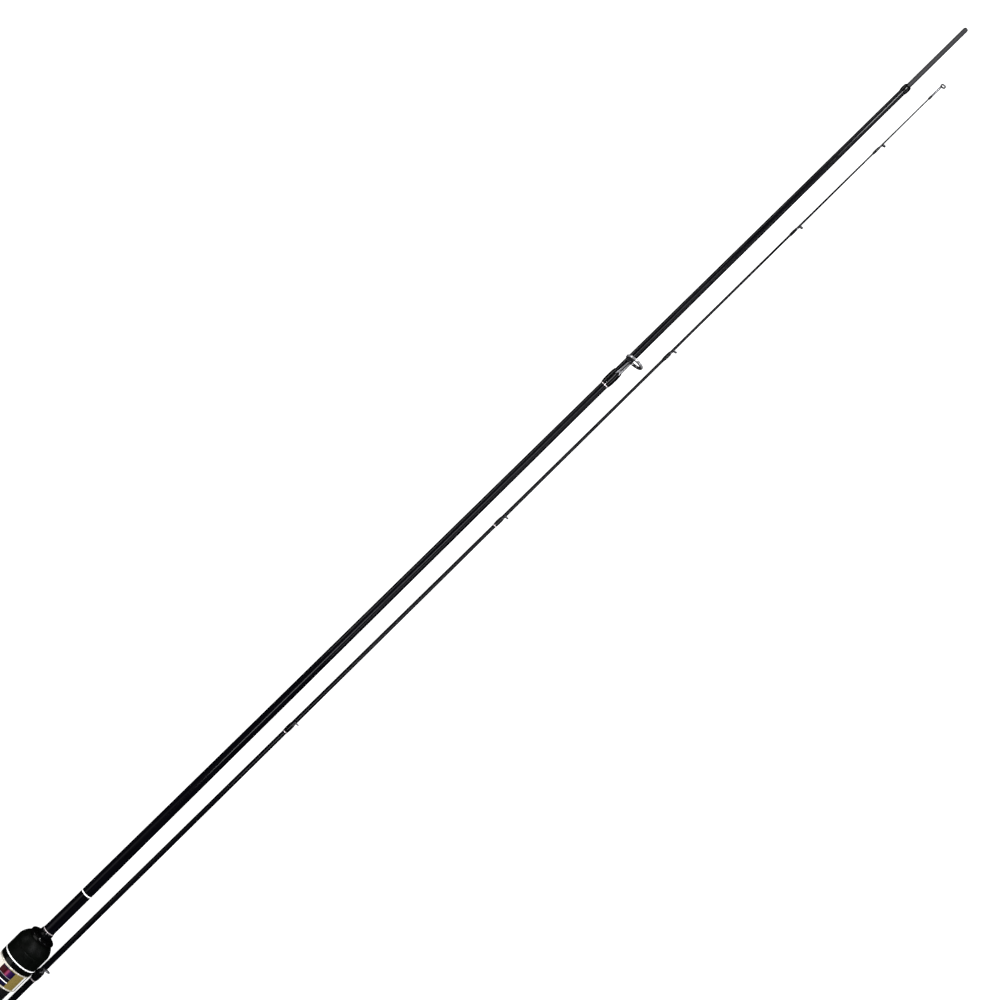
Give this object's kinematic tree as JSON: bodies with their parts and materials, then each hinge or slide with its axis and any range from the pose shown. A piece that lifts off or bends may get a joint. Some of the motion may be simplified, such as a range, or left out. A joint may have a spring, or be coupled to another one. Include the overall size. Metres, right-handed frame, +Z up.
{
  "type": "fishing rod",
  "caption": "Two-section spinning rod, taken down and laid side by side: handle with screw-lock reel seat, spigot ferrule, and ceramic line guides on hollow tapered blanks.",
  "frame": {"origin": "on the surface that both sections lie on, under the middle of the object's box", "axes": "+X along both sections from the butt cap towards the spigot and the tip ring, +Y from the tip section towards the butt section, +Z up"},
  "size_m": [1.4392, 0.0415, 0.0356],
  "materials": {
    "carbon_blank": "gloss",
    "spigot_carbon": "satin",
    "epoxy_wrap": "gloss",
    "eva_grip": "matte",
    "butt_rubber": "matte",
    "seat_plastic": "satin",
    "gloss_ring": "gloss",
    "arbor_plastic": "matte",
    "white_ring": "gloss",
    "gold_sleeve": "polished",
    "polished_rim": "polished",
    "badge_enamel": "gloss",
    "bright_trim": "polished",
    "stripper_steel": "polished",
    "guide_steel": "satin",
    "ring_ceramic": "gloss"
  },
  "bodies": {
    "butt_section": {"black_ring": "gloss_ring", "butt_blank": "carbon_blank", "butt_cap": "butt_rubber", "butt_ferrule_wrap": "epoxy_wrap", "fixed_hood": "seat_plastic", "foregrip": "eva_grip", "foregrip_trim_ring": "bright_trim", "foregrip_wrap": "epoxy_wrap", "front_arbor": "arbor_plastic", "metal_sleeve": "gold_sleeve", "rear_arbor": "arbor_plastic", "rear_grip": "eva_grip", "rear_ring": "gloss_ring", "reel_seat_body": "seat_plastic", "sleeve_badge": "badge_enamel", "sleeve_front_rim": "polished_rim", "sleeve_rear_rim": "polished_rim", "spigot": "spigot_carbon", "stripper_frame": "stripper_steel", "stripper_ring": "ring_ceramic", "stripper_trim_ring": "bright_trim", "stripper_wrap": "epoxy_wrap", "white_band": "white_ring", "white_ring": "white_ring", "winding_check": "gloss_ring"},
    "movable_hood": {"movable_hood": "seat_plastic"},
    "lock_nut": {"lock_nut": "seat_plastic"},
    "tip_section": {"guide_1_frame": "guide_steel", "guide_1_ring": "ring_ceramic", "guide_1_wrap": "epoxy_wrap", "guide_2_frame": "guide_steel", "guide_2_ring": "ring_ceramic", "guide_2_wrap": "epoxy_wrap", "guide_3_frame": "guide_steel", "guide_3_ring": "ring_ceramic", "guide_3_wrap": "epoxy_wrap", "guide_4_frame": "guide_steel", "guide_4_ring": "ring_ceramic", "guide_4_trim_ring": "bright_trim", "guide_4_wrap": "epoxy_wrap", "guide_5_frame": "guide_steel", "guide_5_ring": "ring_ceramic", "guide_5_trim_ring": "bright_trim", "guide_5_wrap": "epoxy_wrap", "guide_6_frame": "guide_steel", "guide_6_ring": "ring_ceramic", "guide_6_trim_ring": "bright_trim", "guide_6_wrap": "epoxy_wrap", "guide_7_frame": "guide_steel", "guide_7_ring": "ring_ceramic", "guide_7_trim_ring": "bright_trim", "guide_7_wrap": "epoxy_wrap", "tip_blank": "carbon_blank", "tip_ferrule_wrap": "epoxy_wrap", "tip_top_frame": "guide_steel", "tip_top_ring": "ring_ceramic", "tip_top_wrap": "epoxy_wrap"}
  },
  "joints": [
    {"name": "hood_slide", "type": "slide", "parent": "butt_section", "child": "movable_hood", "axis": [1, 0, 0], "range_m": [0, 0.02]},
    {"name": "nut_turn", "type": "hinge", "parent": "movable_hood", "child": "lock_nut", "pos_m": [-0.45985, 0.00549, 0.01525], "axis": [1, 0, 0], "range_deg": [0, 3600]},
    {"name": "tip_section_away", "type": "slide", "parent": "butt_section", "child": "tip_section", "axis": [1, 0, 0], "range_m": [0, 1.3743]}
  ],
  "couplings": [
    {"joint": "hood_slide", "follows": "nut_turn", "m_per_rad": 0.00031831}
  ]
}
